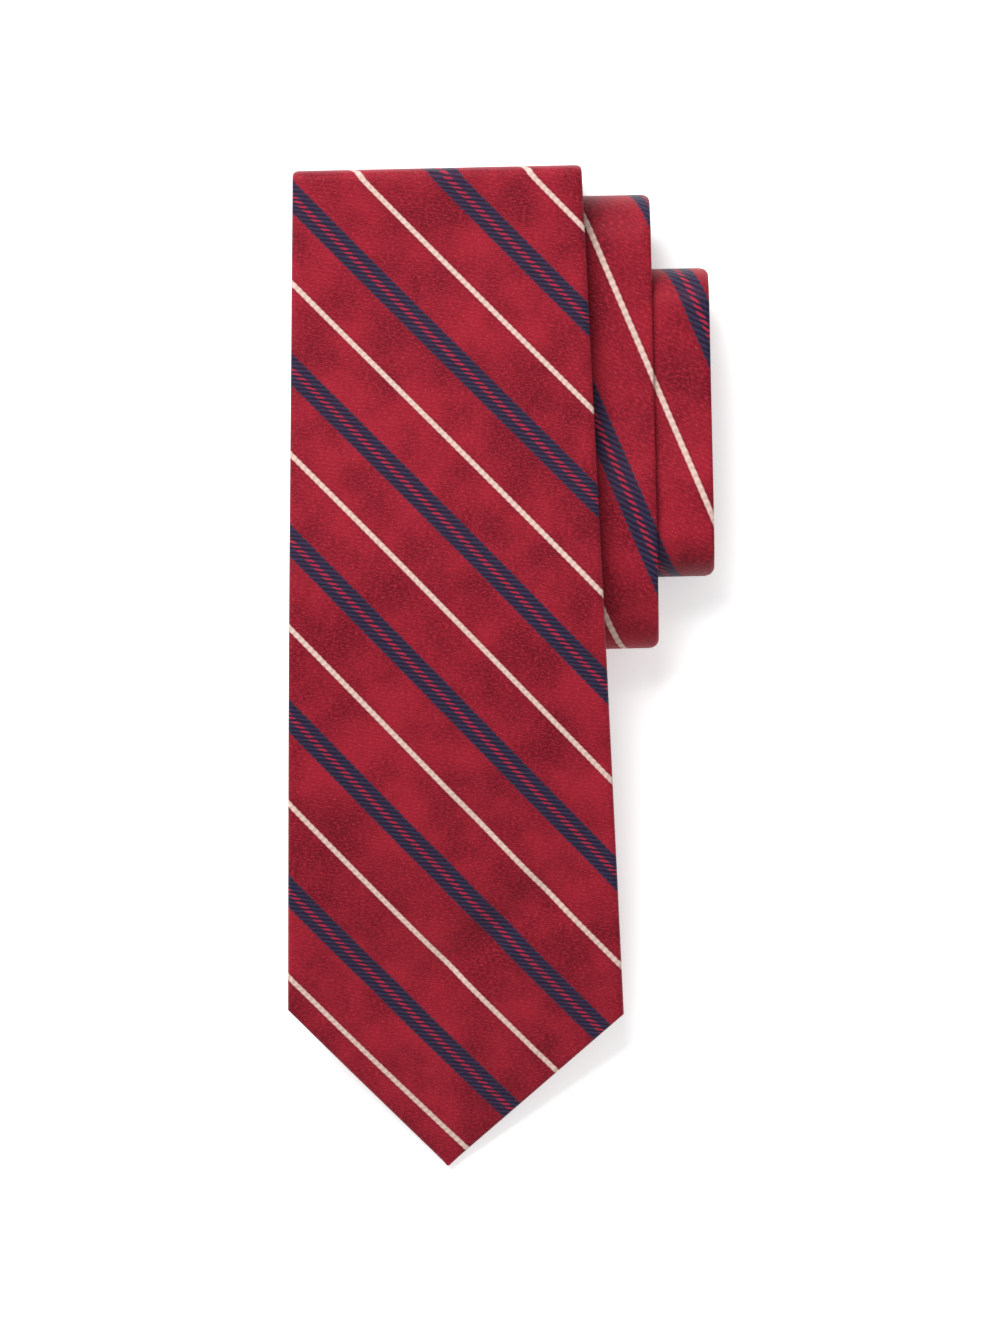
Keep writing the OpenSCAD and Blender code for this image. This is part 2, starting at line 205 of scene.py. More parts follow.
def makeSilk():
    s = silkLook
    look = Look("silk")
    along, across, stripe = look.cloth()
    angle = radians(s["twillAngle"])
    twill = (across * cos(angle) - along * sin(angle)) / s["twillPitch"]
    thread = along * cos(angle) + across * sin(angle)      # distance along a twill line
    wobble = look.grain(look.vector(thread * 0.6, twill * 0.8), 1.0, 1.0)
    line = look.waves(twill + (wobble - 0.5) * 0.5)
    place = look.maths("FRACT", stripe)
    fromNavy = look.maths("ABSOLUTE", place - 0.5) * s["pitch"]
    fromWhite = 0.5 * s["pitch"] - fromNavy
    ragged = (line - 0.5) * 0.34
    navy = 1 - look.ease(fromNavy + ragged, s["navyHalf"] - 0.2, s["navyHalf"] + 0.22)
    dash = 1 - look.ease(fromNavy, s["dashHalf"] - 0.25, s["dashHalf"] + 0.3)
    dash = dash * look.ease(1 - line, 0.3, 0.75)
    white = 1 - look.ease(fromWhite + ragged * 0.25, s["whiteHalf"] - 0.2, s["whiteHalf"] + 0.16)
    halo = 1 - look.ease(fromWhite, s["whiteHalf"], s["whiteHalf"] + 0.8)

    fine = look.grain(look.vector(thread * 1.1, twill * 3.0), 1.0, 2.0)
    patch = look.grain(look.vector(along, across), 0.09, 3.0)
    cloud = look.grain(look.vector(along, across), 0.03, 2.0)
    # specks along the twill lines, drawn in a pale colour: partly lighter floats of the weave, partly painted
    # pinpoint highlights
    glintSpecks = look.grain(look.vector(thread * 1.4, twill * 2.4, 7.0), 1.0, 1.0)
    mottle = look.ease(patch * 0.55 + cloud * 0.45, 0.36, 0.66)
    ground = look.mix(mottle, tint(*s["groundDeep"]), tint(*s["ground"]))
    ground = look.mix(look.ease(fine, 0.4, 0.74) * 0.62, ground, tint(*s["groundLight"]))
    ground = look.mix(line * 0.16, ground, tint(*s["groundDeep"]))
    ground = look.mix(look.ease(glintSpecks, 0.6, 0.78) * 0.24, ground, tint(*s["fleckGlint"]))
    ground = look.mix(halo * 0.3, ground, tint(*s["groundDeep"]))
    shine = look.mix(look.ease(fine, 0.35, 0.65), tint(*s["navyLight"]), tint(*s["navyPlum"]))
    blue = look.mix(look.ease(line, 0.15, 0.8), shine, tint(*s["navyDeep"]))
    colour = look.mix(navy, ground, blue)
    colour = look.mix(dash * 0.85, colour, tint(*s["dash"]))
    rope = look.waves(along * 0.63 + wobble * 0.7) * 0.5 + fine * 0.5
    pale = look.mix(rope, tint(*s["whiteDull"]), tint(*s["white"]))
    colour = look.mix(white, colour, pale)
    roughness = 0.5 + (fine - 0.5) * 0.25 + white * 0.12
    height = (1 - line) * (0.35 + navy * 0.12) + fine * 0.35 + white * 0.5
    return look.finish(colour, roughness, height, 0.045, {
        "Specular IOR Level": 0.3, "Specular Tint": tint(235, 120, 130), "Sheen Weight": 0.05,
        "Sheen Roughness": 0.4, "Sheen Tint": tint(230, 110, 120)})


plainLooks = {
    # threads across and along per millimetre, two colours, roughness, sheen
    "interlining": {"counts": (1.1, 1.1), "deep": (196, 186, 164), "light": (232, 226, 208),
                    "rough": 0.9, "sheen": 0.3, "high": 0.12},
    "tipping": {"counts": (2.6, 3.4), "deep": (84, 14, 28), "light": (124, 26, 42),
                "rough": 0.36, "sheen": 0.1, "high": 0.02},
    "nameLabel": {"counts": (3.0, 2.2), "deep": (14, 16, 30), "light": (38, 42, 66),
                  "rough": 0.55, "sheen": 0.1, "high": 0.03},
    "careLabel": {"counts": (3.4, 2.6), "deep": (214, 210, 202), "light": (244, 242, 236),
                  "rough": 0.42, "sheen": 0.1, "high": 0.02},
}


def makePlainWeave(name):
    s = plainLooks[name]
    look = Look(name)
    across, along = look.cloth()[:2]
    loose = look.grain(look.vector(across, along), 0.8, 2.0)
    warp = look.waves(across * s["counts"][0] + loose * 0.5)
    weft = look.waves(along * s["counts"][1] + loose * 0.5)
    over = look.waves(across * (s["counts"][0] / 2) + along * (s["counts"][1] / 2))
    weave = warp * over + weft * (1 - over)
    cloud = look.grain(look.vector(across, along), 0.12, 3.0)
    colour = look.mix(look.ease(weave * 0.6 + cloud * 0.5, 0.2, 0.85), tint(*s["deep"]), tint(*s["light"]))
    roughness = s["rough"] + (cloud - 0.5) * 0.15
    return look.finish(colour, roughness, weave + loose * 0.5, s["high"], {
        "Specular IOR Level": 0.2, "Sheen Weight": s["sheen"], "Sheen Roughness": 0.5})


def makeThread():
    look = Look("thread")
    place = look.wire("ShaderNodeTexCoord", {}, {}, "Object")
    ply = look.grain(place, 3200.0, 2.0)
    dye = look.grain(place, 300.0, 2.0)
    colour = look.mix(look.ease(ply * 0.6 + dye * 0.4, 0.35, 0.65), tint(120, 24, 38), tint(182, 52, 62))
    return look.finish(colour, 0.55 + (ply - 0.5) * 0.3, ply, 0.05, {
        "Specular IOR Level": 0.35, "Sheen Weight": 0.2})


def makeFloor():
    look = Look("floor")
    place = look.wire("ShaderNodeTexCoord", {}, {}, "Object")
    cloud = look.grain(place, 2.0, 3.0)
    shade = studio["floorShade"]
    colour = look.mix(cloud, (shade, shade, shade, 1), (shade + 0.01, shade + 0.01, shade + 0.01, 1))
    return look.finish(colour, 0.9 + (cloud - 0.5) * 0.05, cloud, 0.01, {
        "Specular IOR Level": 0.1, "Emission Color": (1, 1, 1, 1), "Emission Strength": studio["floorGlow"]})


materials = {
    "silk": makeSilk(),
    "thread": makeThread(),
    "interlining": makePlainWeave("interlining"),
    "tipping": makePlainWeave("tipping"),
    "name_label": makePlainWeave("nameLabel"),
    "care_label": makePlainWeave("careLabel"),
}
print("materials made")

floorForm = bmesh.new()
bmesh.ops.create_grid(floorForm, x_segments=1, y_segments=1, size=studio["floorSize"] / 2)
floorMesh = bpy.data.meshes.new("floor")
floorForm.to_mesh(floorMesh)
floorForm.free()
floor = bpy.data.objects.new("floor", floorMesh)
floorMesh.materials.append(makeFloor())
bpy.context.scene.collection.objects.link(floor)

# The tie runs along the blade from its tip, then fold by fold into the roll
tie = {
    "length": 1473, "stripT": 1.25, "bladeT": 2.0, "silkT": 0.22,
    "bladeW": 83.5, "topFoldW": 71.2, "loop1W": 64, "loop2W": 55, "neckW": 38, "tailW": 44,
    "pointLeft": 41.5, "pointRight": 38.6, "tipShift": 2.8, "tipHalf": 0.4, "tailPoint": 22,
    "hem": 7, "bladeOpen": 88, "tailOpen": 52, "slit": 0.5,
}
roll = {
    "lastLayer": 16, "topY": 60, "bladeReach": 246.3, "loop1Span": 117.8, "loop1Inset": 6.5,
    "loop2Inset": 18.5, "loop2Lift": 17.6, "foldSlack": 0.3, "layerGap": 0.35, "loopGap": 0.6,
    "bladeGap": 4.4, "topFoldDepth": 4, "topFoldBlunt": 6, "bends": {1: 2, 2: 1.2},
    "loop1Edge": 52.3, "loop2Edge": 66.4,
    "drapeStart": 100, "tipHeight": 1.3, "cornerRound": 1.4,
}
pitch = tie["stripT"] + roll["layerGap"]
sinkY = roll["topY"] - roll["drapeStart"]
tipY = roll["topY"] - roll["bladeReach"]


def layerZ(k):
    last = roll["lastLayer"]
    if k % 2:
        return tie["stripT"] / 2 + pitch * (k - 1) / 2
    if k >= 4:
        return tie["stripT"] / 2 + pitch * ((last + 1) // 2 + (2 * (last // 2) - k) / 2)
    if k == 2:
        return layerZ(4) + tie["stripT"] + roll["loopGap"]
    return layerZ(2) + (tie["stripT"] + tie["bladeT"]) / 2 + roll["bladeGap"]


def foldSide(j):
    return 1 if j % 2 == 0 else -1


def foldY(j):
    first = [roll["topY"], roll["topY"] - roll["loop1Span"], roll["topY"] - roll["loop1Inset"]]
    first += [first[1] + roll["loop2Lift"], first[2] - roll["loop2Inset"]]
    return first[j] if j < 5 else foldY(j - 2) - foldSide(j) * (pitch + roll["foldSlack"])


def foldPlaces(j):
    half = abs(layerZ(j) - layerZ(j + 1)) / 2
    depth = roll["topFoldDepth"] if j == 0 else roll["bends"].get(j, 1) * half
    power = 2 / roll["topFoldBlunt"] if j == 0 else 1
    centreY, centreZ = foldY(j) - foldSide(j) * depth, (layerZ(j) + layerZ(j + 1)) / 2
    up = 1 if layerZ(j) > centreZ else -1
    steps = 36 if j < 5 else 16
    turns = [pi * i / steps for i in range(steps + 1)]
    return [Vector((centreY + foldSide(j) * depth * max(sin(a), 0) ** power,
                    centreZ + up * half * copysign(abs(cos(a)) ** power, cos(a)))) for a in turns]


def bladePlaces():
    end = roll["topY"] - roll["topFoldDepth"]
    reach = end - tipY
    steps = ceil(reach / 2)
    places = []
    for i in range(steps):
        y = tipY + reach * i / steps
        drop = (max(0, sinkY - y) / (sinkY - tipY)) ** 1.5
        places.append(Vector((y, layerZ(0) - (layerZ(0) - roll["tipHeight"]) * drop)))
    return places


route = bladePlaces()
foldIn, foldOut = [], []
for j in range(roll["lastLayer"]):
    bend = foldPlaces(j)
    if j:
        first, last = route[-1], bend[0]
        steps = ceil((last - first).length / (3 if j < 5 else 10))
        route += [first.lerp(last, i / steps) for i in range(1, steps)]
    foldIn.append(len(route))
    route += bend
    foldOut.append(len(route) - 1)
distances = [0.0]
for before, after in zip(route, route[1:]):
    distances.append(distances[-1] + (after - before).length)
foldIn = [distances[i] for i in foldIn]
foldOut = [distances[i] for i in foldOut]
legs = [(after - before).normalized() for before, after in zip(route, route[1:])]
ways = [legs[0]] + [(a + b).normalized() for a, b in zip(legs, legs[1:])] + [legs[-1]]


def onRoute(s):
    i = min(max(bisect_right(distances, s) - 1, 0), len(route) - 2)
    part = (s - distances[i]) / (distances[i + 1] - distances[i])
    return route[i].lerp(route[i + 1], part), ways[i].lerp(ways[i + 1], part).normalized()


def smooth(v):
    v = min(1, max(0, v))
    return v * v * (3 - 2 * v)


widths = [
    (tie["pointRight"], tie["bladeW"]), (foldIn[0], tie["topFoldW"]), (foldOut[1], tie["loop1W"]),
    (foldOut[3], tie["loop2W"]), (foldOut[5] + 60, tie["neckW"]), (tie["length"] - 330, tie["neckW"]),
    (tie["length"] - tie["tailPoint"], tie["tailW"])]


def width(s):
    if s <= widths[0][0]:
        return widths[0][1]
    for (s0, w0), (s1, w1) in zip(widths, widths[1:]):
        if s <= s1:
            return w0 + (w1 - w0) * (s - s0) / (s1 - s0)
    return widths[-1][1]


def middle(s):
    edge1, edge2 = roll["loop1Edge"], roll["loop2Edge"]
    if s < foldOut[0]:
        return 0
    if s < foldIn[1]:
        return (edge1 - width(foldIn[1]) / 2) * smooth((s - foldOut[0]) / (foldIn[1] - foldOut[0]))
    if s < foldOut[2]:
        return edge1 - width(s) / 2
    if s < foldIn[3]:
        a, b = edge1 - width(foldOut[2]) / 2, edge2 - width(foldIn[3]) / 2
        return a + (b - a) * smooth((s - foldOut[2]) / (foldIn[3] - foldOut[2]))
    if s < foldOut[4]:
        return edge2 - width(s) / 2
    return edge2 - width(foldOut[4]) / 2


# A fold draws its corners in a little, where it turns furthest out
def cornerEase(s):
    for j in range(1, 5):
        if foldIn[j] < s < foldOut[j]:
            y = onRoute(s)[0].x
            short = max(0, 1 - max(0, (foldY(j) - y) * foldSide(j)) / roll["cornerRound"])
            return roll["cornerRound"] * (1 - (1 - short * short) ** 0.5)
    return 0


def leftEdge(s):
    reach = tie["length"] - s
    if s < tie["pointLeft"]:
        tip = -tie["tipShift"] - tie["tipHalf"]
        return tip - (tip + width(tie["pointLeft"]) / 2) * s / tie["pointLeft"]
    if reach < tie["tailPoint"]:
        return middle(s) - tailHalf(reach)
    return middle(s) - width(s) / 2 + cornerEase(s)


def rightEdge(s):
    reach = tie["length"] - s
    if s < tie["pointRight"]:
        tip = -tie["tipShift"] + tie["tipHalf"]
        return tip + (width(tie["pointRight"]) / 2 - tip) * s / tie["pointRight"]
    if reach < tie["tailPoint"]:
        return middle(s) + tailHalf(reach)
    return middle(s) + width(s) / 2 - cornerEase(s)


def tailHalf(reach):
    return tie["tipHalf"] + (tie["tailW"] / 2 - tie["tipHalf"]) * reach / tie["tailPoint"]


def thickness(s):
    share = min(1, max(0, (s - foldIn[0]) / (foldOut[0] - foldIn[0])))
    return tie["bladeT"] + (tie["stripT"] - tie["bladeT"]) * share


def backGap(s):
    fromEnd = min(s - tie["pointLeft"], tie["length"] - tie["tailPoint"] - s)
    run = tie["bladeOpen"] - tie["pointLeft"] if s < 700 else tie["tailOpen"] - tie["tailPoint"]
    full = rightEdge(s) - leftEdge(s) - 2 * tie["hem"]
    return max(tie["slit"], full if fromEnd < 0 else full * max(0, 1 - fromEnd / run))


# Soft hollows and swellings: place, reach and direction of each, and its height
relief = {
    "hollows": [
        # x, y, half length, half width, degrees, height
        (11, -127, 24, 5.0, 35, -1.5),
        (2, -107, 14, 7, 60, -1.0),
        (27, -60, 26, 9, 80, 0.25),
        (-22, -40, 40, 12, 95, 0.22),
        (-20, 25, 34, 12, 70, -0.2),
        (18, 10, 36, 14, 100, 0.2),
        (-24, -150, 20, 9, 120, 0.25),
        (33, -104, 12, 6, 95, -0.8),
        (-17, -138, 14, 6, 20, -0.7),
        (30, -150, 18, 8, 60, -0.25),
    ],
    "ripple": 0.16, "rippleSize": 34,
    "hemHeight": 0.3, "hemAt": 8.6, "hemWidth": 1.7,
    "loopSize": 17, "loopRipple": 0.3, "outerShare": 1.4, "loopSwell": {"y": -30, "reach": 14, "height": 1.8},
}


def bladeRelief(x, s):
    y = onRoute(s)[0].x
    rise = relief["ripple"] * noise.noise(Vector((x / relief["rippleSize"], y / relief["rippleSize"], 4.2)))
    for cx, cy, reach, wide, turn, height in relief["hollows"]:
        dx, dy, a = x - cx, y - cy, radians(turn)
        u, v = (dx * cos(a) + dy * sin(a)) / reach, (dy * cos(a) - dx * sin(a)) / wide
        rise += height * exp(-u * u - v * v)
    if s < 60:
        slopeL = hypot(1, width(40) / 2 / tie["pointLeft"])
        slopeR = hypot(1, width(40) / 2 / tie["pointRight"])
        tipped = min(s, tie["pointLeft"])
        inside = min((x - leftEdge(tipped)) / slopeL, (rightEdge(min(s, tie["pointRight"])) - x) / slopeR)
        if s > tie["pointLeft"]:
            inside = hypot(max(0, inside), s - tie["pointLeft"]) if inside < 12 else inside
        rise += relief["hemHeight"] * exp(-((inside - relief["hemAt"]) / relief["hemWidth"]) ** 2)
    rise *= smooth((foldIn[0] - s) / 30)
    room = onRoute(s)[0].y - thickness(s) / 2 - 0.15      # down to the table
    return max(rise, -room)


def loopRelief(x, s):
    # a swelling above the lower bend, and a ripple that is stronger on the outer loop
    k = relief["outerShare"] if s < foldOut[2] else 1.0
    size, swell = relief["loopSize"], relief["loopSwell"]
    rise = swell["height"] * exp(-((onRoute(s)[0].x - swell["y"]) / swell["reach"]) ** 2)
    return rise + relief["loopRipple"] * k * noise.noise(Vector((x / size, s / size / 1.8, 9.1))) - 0.1


def liftAt(x, s):
    if s < foldIn[0]:
        return bladeRelief(x, s)
    if foldOut[1] < s < foldIn[2] or foldOut[3] < s < foldIn[4]:
        j = 1 if s < foldOut[2] else 3
        inner = min(s - foldOut[j], foldIn[j + 1] - s)
        return loopRelief(x, s) * smooth(inner / 20)
    return 0


def place(x, s, up):
    at, way = onRoute(s)
    up += liftAt(x, s)
    return Vector((x, at.x - way.y * up, at.y + way.x * up)) * mm


# Where the stripes run on the cloth
stripes = {
    "blade": {"slope": 1.064, "rise": 44.35, "start": 0.1647, "drift": 0.95, "driftAt": 140, "driftRun": 220},
    "loops": {"slope": 2.47, "rise": 90.5, "start": 136.8, "scale": 1.25},
}


def stripePlace(x, s):
    if s < bladeNeck:
        b = stripes["blade"]
        turn = atan(b["slope"])
        drift = b["drift"] * cos(2 * pi * (s - b["driftAt"]) / b["driftRun"])
        number = (s - drift + b["slope"] * x) / b["rise"] - b["start"]
        return Vector((x * cos(turn) - s * sin(turn), x * sin(turn) + s * cos(turn), number))
    b = stripes["loops"]
    turn = atan(b["slope"])
    level1 = (foldOut[1] + foldIn[2]) / 2 - (onRoute(foldOut[1])[0].x + onRoute(foldIn[2])[0].x) / 2
    level2 = (foldOut[3] + foldIn[4]) / 2 - (onRoute(foldOut[3])[0].x + onRoute(foldIn[4])[0].x) / 2
    # the hidden stretch between the loops takes up the difference between them
    spare = level2 - level1 - 2 * b["rise"]
    shift = level1 + spare * smooth((s - foldOut[2] - 4) / (foldIn[3] - foldOut[2] - 8))
    number = (s - shift + b["slope"] * x - b["start"]) / b["rise"]
    along, across = x * cos(turn) - s * sin(turn), x * sin(turn) + s * cos(turn)
    return Vector((along / b["scale"], across / b["scale"], number))


bladeEnd = foldIn[0] - 0.15
bladeNeck = foldOut[0] + 0.55 * (foldIn[1] - foldOut[0])
linkFrom, linkTo = foldOut[2], foldIn[3]
neckTail = foldOut[8] + 20
liningJoin = foldOut[7] + 25
seamL = 0.4
seamDeep = 0.09


def rowsBetween(start, end):
    marks = [tie["pointRight"], tie["pointLeft"], tie["length"] - tie["tailPoint"]]
    inner = [s for s in distances if all(abs(s - m) > 0.3 for m in marks)] + marks
    return [start] + sorted(s for s in inner if start + 0.25 < s < end - 0.25) + [end]


def flatArea(rows, spans):
    # of a strip cut to these widths at these rows, in square metres
    cuts = zip(rows, rows[1:], spans, spans[1:])
    return sum((s1 - s0) * (w0 + w1) / 2 for s0, s1, w0, w1 in cuts) * mm * mm


def declareSheet(rows, spans):
    flat = (round(max(max(spans) * mm, 0.01), 4), round(max((rows[-1] - rows[0]) * mm, 0.01), 4))
    round(min(flatArea(rows, spans), flat[0] * flat[1]), 7)


def gridForm(columns, rows):
    form = bmesh.new()
    bmesh.ops.create_grid(form, x_segments=columns - 1, y_segments=rows - 1, size=1)
    return form


def cells(form, columns, rows):
    # every vertex of the grid with its column and its row
    for v in form.verts:
        yield v, round((v.co.x + 1) / 2 * (columns - 1)), round((v.co.y + 1) / 2 * (rows - 1))


def addPiece(name, form, slot, body, nodes, thick=0.0, inwards=True):
    mesh = bpy.data.meshes.new(name)
    for face in form.faces:
        face.smooth = True
    form.to_mesh(mesh)
    form.free()
    piece = bpy.data.objects.new(name, mesh)
    bpy.context.scene.collection.objects.link(piece)
    mesh.materials.append(materials[slot])
    if thick:
        wall = piece.modifiers.new("wall", "SOLIDIFY")
        wall.thickness = thick * mm
        wall.offset = -1 if inwards else 0
        wall.use_even_offset = False
    settle(piece)
    sharpenRims(piece.data)
    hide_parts(*nodes)
    if body:
        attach(piece, body)
    return piece


def sharpenRims(mesh):
    # cut edges stay crisp, so that two pieces that meet are shaded alike
    form = bmesh.new()
    form.from_mesh(mesh)
    for edge in form.edges:
        edge.smooth = edge.calc_face_angle(0) < radians(50)
    form.to_mesh(mesh)
    form.free()


def settle(piece):
    # the modifiers' result becomes the piece's own mesh
    graph = bpy.context.evaluated_depsgraph_get()
    graph.update()
    final = bpy.data.meshes.new_from_object(piece.evaluated_get(graph), preserve_all_data_layers=True,
                                            depsgraph=graph)
    final.name = piece.name
    piece.modifiers.clear()
    if piece.type == "MESH":
        piece.data = final
    return final


def crossFold(piece, fold):
    # a piece that crosses a fold has its place baked into its mesh; it is attached to no body
    if fold == "top":
        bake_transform(piece)
    if fold == "link":
        first, last = onRoute(linkFrom)[0].x, onRoute(linkTo)[0].x
        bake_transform(piece)


silkForm = {"back": 12, "edge": 8, "front": 44, "edgeReach": 1.6}


def silkColumns(fine):
    back, edge, front = [max(3, round(silkForm[k] * fine)) for k in ("back", "edge", "front")]
    outline = [("backLeft", i / back) for i in range(back)]
    outline += [("leftRound", i / edge) for i in range(edge)]
    outline += [("front", i / front) for i in range(front)]
    outline += [("rightRound", i / edge) for i in range(edge)]
    return outline + [("backRight", i / back) for i in range(back + 1)]


def silkPoint(part, t, s, left, right, half, reach, gap, slopes):
    # a point of the section: sideways, up, and its place on the flat cloth
    mid = (left + right) / 2
    if part == "backLeft":
        x, up = mid - gap + (left + reach - mid + gap) * t, -half
    elif part == "leftRound":
        turn = pi * (t - 0.5)
        x, up = left + reach * (1 - cos(turn)), half * sin(turn)
    elif part == "front":
        x, up = left + reach + (right - left - 2 * reach) * t, half
    elif part == "rightRound":
        turn = pi * (0.5 - t)
        x, up = right - reach * (1 - cos(turn)), half * sin(turn)
    else:
        x, up = right - reach + (mid + gap - right + reach) * t, -half
    flatX, flatS = x, s
    if part in ("backLeft", "backRight") or part.endswith("Round") and up < 0:
        edge, slope = (left, slopes[0]) if part in ("backLeft", "leftRound") else (right, slopes[1])
        run = Vector((slope, 1)).normalized()
        off = Vector((x - edge, 0))
        turned = 2 * off.dot(run) * run - off
        flatX, flatS = edge + turned.x, s + turned.y
    return x, up, flatX, flatS


def silkStrip(name, start, end, nodes, body=None, fold=None, fine=1.0):
    outline = silkColumns(fine)
    rows = rowsBetween(start, end)
    form = gridForm(len(outline), len(rows))
    cloth = form.verts.layers.float_vector.new("cloth")
    sections = []
    for s in rows:
        left, right, half = leftEdge(s), rightEdge(s), thickness(s) / 2
        reach = min(half * silkForm["edgeReach"], (right - left) * 0.24)
        gap = min(backGap(s), right - left - 3 * reach) / 2
        near, far = max(0, s - 0.4), min(tie["length"], s + 0.4)
        slopes = [(side(far) - side(near)) / (far - near) for side in (leftEdge, rightEdge)]
        sections.append((s, left, right, half, reach, gap, slopes))
    for v, column, row in cells(form, len(outline), len(rows)):
        x, up, flatX, flatS = silkPoint(*outline[column], *sections[row])
        v[cloth] = stripePlace(flatX, flatS)
        v.co = place(x, sections[row][0], up)
    piece = addPiece(name, form, "silk", body, nodes, tie["silkT"])
    if fold:
        crossFold(piece, fold)
    declareSheet(rows, [2 * (q[2] - q[1]) - 2 * q[5] for q in sections])


silkStrip("bladeSilk", 0, bladeEnd, ["blade_shell"], body="blade")
silkStrip("topFoldSilk", bladeEnd, foldOut[0], ["top_fold_shell"], fold="top")
silkStrip("underBladeSilk", foldOut[0], bladeNeck - seamL / 2, ["under_blade_shell"], body="root")
silkStrip("outerNeckSilk", bladeNeck + seamL / 2, linkFrom, ["outer_neck_shell"], body="root", fine=0.8)
silkStrip("linkSilk", linkFrom, linkTo, ["link_neck_shell"], fold="link", fine=0.5)
silkStrip("innerNeckSilk", linkTo, neckTail - seamL / 2, ["inner_neck_shell"], body="inner_turns", fine=0.5)
silkStrip("tailSilk", neckTail + seamL / 2, tie["length"], ["tail_shell"], body="inner_turns", fine=0.6)
print("silk made")


def flatLayer(name, slot, start, end, sides, low, thick, nodes, body=None, fold=None, columns=12,
              held="folded", wave=0.0):
    # sides gives the left and right edges at a distance, low the height of its lower face
    rows = rowsBetween(start, end)
    form = gridForm(columns, len(rows))
    cloth = form.verts.layers.float_vector.new("cloth")
    spans = [sides(s) for s in rows]
    for v, column, row in cells(form, columns, len(rows)):
        s = rows[row]
        left, right = spans[row]
        x = left + (right - left) * column / (columns - 1)
        ripple = wave * noise.noise(Vector((x / 9, s / 9, 2.5)))
        v[cloth] = Vector((x, s, 0))
        v.co = place(x, s, low(s) + thick / 2 + ripple)
    piece = addPiece(name, form, slot, body, nodes, thick, inwards=False)
    if fold:
        crossFold(piece, fold)
    declareSheet(rows, [right - left for left, right in spans])


def insideSides(shy):
    return lambda s: (leftEdge(s) + shy, rightEdge(s) - shy)


def overBack(off):
    # a height above the inner face of the silk's back
    return lambda s: -thickness(s) / 2 + tie["silkT"] + off


canvas = {"off": 0.12, "shy": 1.0}


def canvasStrip(name, start, end, nodes, off=None, **how):
    # one thickness from end to end, so it is set by the thinner end
    off = canvas["off"] if off is None else off
    thick = min(thickness(start), thickness(end)) - 2 * tie["silkT"] - off - 0.08
    flatLayer(name, "interlining", start, end, insideSides(canvas["shy"]), overBack(off), thick, nodes, **how)


canvasStrip("bladeCanvas", 4, bladeEnd, ["blade_interlining"], off=0.3, body="blade")
for name, start, end, nodes, how in [
        ("outerCanvas", foldOut[0], linkFrom, ["outer_interlining"], {"body": "root"}),
        ("linkCanvas", linkFrom, linkTo, ["link_interlining"], {"fold": "link"}),
        ("innerCanvas", linkTo, liningJoin - 0.3, ["inner_interlining"], {"body": "inner_turns"})]:
    canvasStrip(name, start, end, nodes, **how)
canvasStrip("topFoldCanvas", bladeEnd, foldOut[0], ["top_fold_interlining"], off=0.15, fold="top")
canvasStrip("tailCanvas", liningJoin + 0.3, tie["length"] - 4, ["tail_interlining"], off=0.25,
            body="inner_turns")

tipping = {"thick": 0.12, "past": 12, "shy": 1.3}
flatLayer("bladeTipping", "tipping", 3, tie["bladeOpen"] + tipping["past"], insideSides(tipping["shy"]),
          overBack(0.05), tipping["thick"], ["blade_tipping"], body="blade", columns=40, wave=0.06)
flatLayer("tailTipping", "tipping", tie["length"] - tie["tailOpen"] - 8, tie["length"] - 3,
          insideSides(tipping["shy"]), overBack(0.05), tipping["thick"], ["tail_tipping"],
          body="inner_turns", columns=20)

keeper = {"at": 186, "long": 48, "wide": 13, "thick": 0.42, "arch": 0.3, "tacked": 3, "off": 0.04,
          "cutFrom": (9, 20)}


def keeperLoop():
    # a band of the tie's own silk across the blade's back, held at its two ends
    k = keeper
    columns, rows = 49, 15
    form = gridForm(columns, rows)
    cloth = form.verts.layers.float_vector.new("cloth")
    for v, column, row in cells(form, columns, rows):
        x, across = (column / (columns - 1) - 0.5) * k["long"], (row / (rows - 1) - 0.5) * k["wide"]
        s = k["at"] + across
        free = smooth((k["long"] / 2 - k["tacked"] - abs(x)) / 4)
        edge = 1 - (abs(across) / (k["wide"] / 2)) ** 6 * 0.3
        v[cloth] = stripePlace(across + k["cutFrom"][0], x + k["cutFrom"][1])
        v.co = place(x, s, -thickness(s) / 2 - k["off"] - (k["arch"] * free + k["thick"] * edge))
    for f in form.faces:
        f.normal_flip()
    piece = addPiece("keeperLoop", form, "silk", "blade", ["keeper_loop"], k["thick"] * 0.9)


keeperLoop()


def backLabel(name, slot, start, wide, across, off, thick, node, body):
    def sides(s):
        centre = middle(s)
        return centre - across / 2, centre + across / 2
    flatLayer(name, slot, start, start + wide, sides, lambda s: -thickness(s) / 2 - off - thick, thick,
              [node], body=body, columns=30, held="laid", wave=0.03)


label = {"from": keeper["at"] + keeper["wide"] / 2 + 5, "wide": 18, "across": 42, "thick": 0.26}
backLabel("nameLabel", "name_label", label["from"], label["wide"], label["across"], 0.02, label["thick"],
          "name_label", "blade")
care = {"wide": 16, "across": 26, "thick": 0.13, "clear": 3.6}
backLabel("careLabel", "care_label", tie["length"] - tie["tailOpen"] - care["clear"] - care["wide"],
          care["wide"], care["across"], 0.1, care["thick"], "care_label", "inner_turns")
print("layers and labels made")


